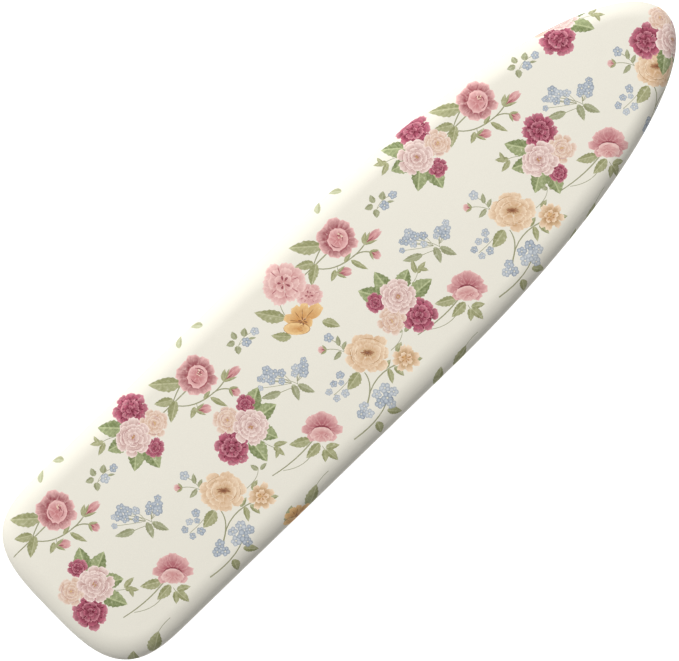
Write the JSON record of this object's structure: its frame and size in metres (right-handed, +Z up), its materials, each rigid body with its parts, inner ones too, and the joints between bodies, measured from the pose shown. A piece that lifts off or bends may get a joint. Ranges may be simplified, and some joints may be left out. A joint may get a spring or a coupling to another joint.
{
  "type": "ironing board",
  "caption": "Folding ironing board: a long tapered padded top with a floral fabric cover on a tubular scissor leg frame, with a sliding friction lock, a squeeze lever and rubber feet.",
  "frame": {"origin": "on the floor, under the middle of the board's length and width, with the legs open", "axes": "+X towards the narrow nose, +Y towards the board's left edge, +Z up"},
  "size_m": [1.372, 0.338, 0.915],
  "materials": {
    "cover_cotton": "printed cotton weave, matte",
    "pad_felt": "felt-faced foam, matte",
    "hem_elastic": "braided elastic cord",
    "white_powder_coat": "satin powder coat",
    "zinc_plate": "zinc plated",
    "grey_nylon": "moulded nylon, fine texture",
    "foot_rubber": "moulded rubber, matte"
  },
  "bodies": {
    "board": {"fabric_cover": "cover_cotton", "hem_elastic": "hem_elastic", "foam_pad": "pad_felt", "mesh_deck": "white_powder_coat", "deck_rim": "white_powder_coat", "brace_tail": "white_powder_coat", "brace_mid": "white_powder_coat", "brace_nose": "white_powder_coat", "pivot_bracket_left": "white_powder_coat", "pivot_bracket_right": "white_powder_coat", "pivot_pin_left": "zinc_plate", "pivot_pin_right": "zinc_plate", "bracket_rivet_left_tail": "zinc_plate", "bracket_rivet_left_nose": "zinc_plate", "bracket_rivet_right_tail": "zinc_plate", "bracket_rivet_right_nose": "zinc_plate", "guide_rail_left": "white_powder_coat", "guide_rail_right": "white_powder_coat", "rail_rivet_left_tail": "zinc_plate", "rail_rivet_left_nose": "zinc_plate", "rail_rivet_right_tail": "zinc_plate", "rail_rivet_right_nose": "zinc_plate", "lock_rod": "zinc_plate"},
    "outer_leg": {"outer_leg_tube_left": "white_powder_coat", "outer_leg_tube_right": "white_powder_coat", "outer_leg_plug_left": "grey_nylon", "outer_leg_plug_right": "grey_nylon", "outer_foot_bar": "white_powder_coat", "outer_foot_cap_left": "foot_rubber", "outer_foot_cap_right": "foot_rubber", "scissor_bolt_left": "zinc_plate", "scissor_spacer_left": "grey_nylon", "scissor_nut_left": "zinc_plate", "scissor_bolt_right": "zinc_plate", "scissor_spacer_right": "grey_nylon", "scissor_nut_right": "zinc_plate"},
    "inner_leg": {"inner_leg_tube_left": "white_powder_coat", "inner_leg_tube_right": "white_powder_coat", "inner_leg_plug_left": "grey_nylon", "inner_leg_plug_right": "grey_nylon", "inner_foot_bar": "white_powder_coat", "inner_foot_cap_left": "foot_rubber", "inner_foot_cap_right": "foot_rubber", "inner_leg_spreader": "white_powder_coat"},
    "slider": {"slider_axle": "zinc_plate", "slide_bush_left": "grey_nylon", "axle_sleeve_left": "zinc_plate", "axle_spacer_left": "grey_nylon", "axle_cap_left": "grey_nylon", "slide_bush_right": "grey_nylon", "axle_sleeve_right": "zinc_plate", "axle_spacer_right": "grey_nylon", "axle_cap_right": "grey_nylon"},
    "lever": {"lock_yoke": "zinc_plate", "release_lever": "zinc_plate", "lever_grip": "grey_nylon", "lever_spring": "zinc_plate"}
  },
  "joints": [
    {"name": "outer_leg_fold", "type": "hinge", "parent": "board", "child": "outer_leg", "pos_m": [-0.486, 0, 0.864], "axis": [0, -1, 0], "range_deg": [0, 45.7]},
    {"name": "inner_leg_fold", "type": "hinge", "parent": "outer_leg", "child": "inner_leg", "pos_m": [-0.16263, 0, 0.49585], "axis": [0, -1, 0], "range_deg": [-91.5, 0.1]},
    {"name": "slider_travel", "type": "hinge", "parent": "inner_leg", "child": "slider", "pos_m": [0.16073, 0, 0.864], "axis": [0, -1, 0], "range_deg": [-0.1, 45.8]},
    {"name": "lever_squeeze", "type": "hinge", "parent": "slider", "child": "lever", "pos_m": [0.16073, 0, 0.864], "axis": [0, -1, 0], "range_deg": [0, 10], "stiffness_Nm_per_rad": 2, "springref_deg": -11.46}
  ],
  "couplings": [
    {"joint": "inner_leg_fold", "follows": "outer_leg_fold", "ratio": -2},
    {"joint": "slider_travel", "follows": "outer_leg_fold", "ratio": 1}
  ]
}
